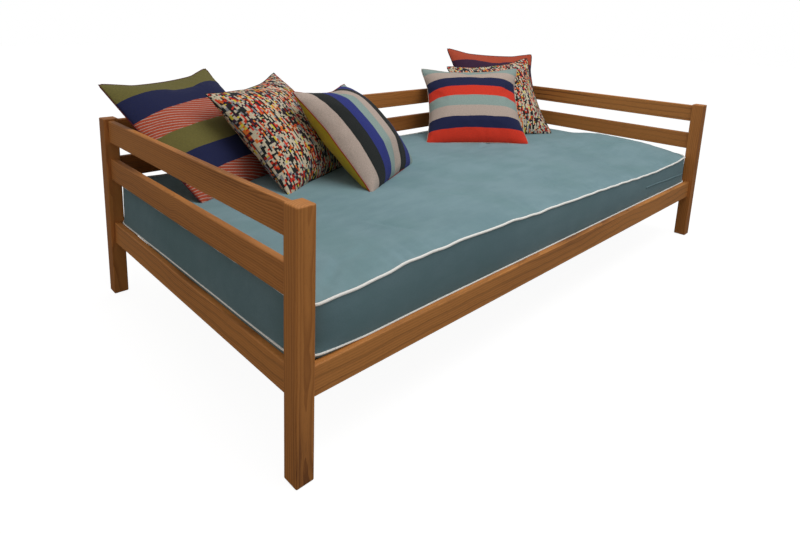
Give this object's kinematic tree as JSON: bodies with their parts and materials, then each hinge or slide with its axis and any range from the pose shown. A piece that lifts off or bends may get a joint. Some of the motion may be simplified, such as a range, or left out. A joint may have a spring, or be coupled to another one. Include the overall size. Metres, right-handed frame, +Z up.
{
  "type": "daybed",
  "caption": "Low timber daybed with a railed gallery on three sides, slatted base, piped mattress and loose scatter cushions.",
  "frame": {"origin": "centre of the whole object's underside, on the floor", "axes": "+X along the daybed's length to the right as seen from its open front, +Y from the open front to the back rails, +Z up"},
  "size_m": [2.1744, 1.132, 0.7551],
  "materials": {
    "oak": "satin oiled",
    "inner_oak": "planed, unfinished",
    "slat": "planed softwood",
    "steel": "zinc plated",
    "glide": "moulded",
    "mattress_cover": "brushed cotton velvet",
    "left_rear_cover": "woven cotton",
    "left_middle_cover": "woven cotton",
    "left_front_cover": "woven cotton",
    "right_rear_cover": "woven cotton",
    "right_middle_cover": "woven cotton",
    "right_front_cover": "woven cotton"
  },
  "bodies": {
    "frame": {"post_front_left": "oak", "post_front_right": "oak", "post_back_left": "oak", "post_back_right": "oak", "foot_glide_front_left": "glide", "foot_glide_front_right": "glide", "foot_glide_back_left": "glide", "foot_glide_back_right": "glide", "left_end_top_rail": "oak", "left_end_middle_rail": "oak", "left_end_bed_rail": "oak", "right_end_top_rail": "oak", "right_end_middle_rail": "oak", "right_end_bed_rail": "oak", "back_top_rail": "oak", "back_middle_rail": "oak", "front_bed_rail": "oak", "back_bed_rail": "oak", "bed_rail_stud_front_left": "steel", "bed_rail_stud_front_right": "steel", "bed_rail_stud_back_left": "steel", "bed_rail_stud_back_right": "steel", "bed_rail_nut_front_left": "steel", "bed_rail_nut_front_right": "steel", "bed_rail_nut_back_left": "steel", "bed_rail_nut_back_right": "steel", "slat_cleat_front": "inner_oak", "slat_cleat_back": "inner_oak", "centre_beam": "inner_oak", "beam_block_left": "inner_oak", "beam_block_right": "inner_oak", "slat_01": "slat", "slat_02": "slat", "slat_03": "slat", "slat_04": "slat", "slat_05": "slat", "slat_06": "slat", "slat_07": "slat", "slat_08": "slat", "slat_09": "slat", "slat_10": "slat", "slat_11": "slat", "slat_12": "slat", "slat_13": "slat", "slat_14": "slat"},
    "mattress": {"mattress": "mattress_cover"},
    "cushion_left_rear": {"cushion_left_rear": "left_rear_cover"},
    "cushion_left_middle": {"cushion_left_middle": "left_middle_cover"},
    "cushion_left_front": {"cushion_left_front": "left_front_cover"},
    "cushion_right_rear": {"cushion_right_rear": "right_rear_cover"},
    "cushion_right_middle": {"cushion_right_middle": "right_middle_cover"},
    "cushion_right_front": {"cushion_right_front": "right_front_cover"}
  },
  "joints": [
    {"name": "mattress_lift", "type": "slide", "parent": "frame", "child": "mattress", "axis": [0, 0, 1], "range_m": [0, 0.38]},
    {"name": "cushion_left_rear_lift", "type": "slide", "parent": "mattress", "child": "cushion_left_rear", "axis": [0, 0, 1], "range_m": [0, 0.35]},
    {"name": "cushion_left_middle_lift", "type": "slide", "parent": "cushion_left_rear", "child": "cushion_left_middle", "axis": [0, 0, 1], "range_m": [0, 0.35]},
    {"name": "cushion_left_front_lift", "type": "slide", "parent": "cushion_left_middle", "child": "cushion_left_front", "axis": [0, 0, 1], "range_m": [0, 0.35]},
    {"name": "cushion_right_rear_lift", "type": "slide", "parent": "mattress", "child": "cushion_right_rear", "axis": [0, 0, 1], "range_m": [0, 0.35]},
    {"name": "cushion_right_middle_lift", "type": "slide", "parent": "cushion_right_rear", "child": "cushion_right_middle", "axis": [0, 0, 1], "range_m": [0, 0.35]},
    {"name": "cushion_right_front_lift", "type": "slide", "parent": "cushion_right_middle", "child": "cushion_right_front", "axis": [0, 0, 1], "range_m": [0, 0.35]}
  ]
}
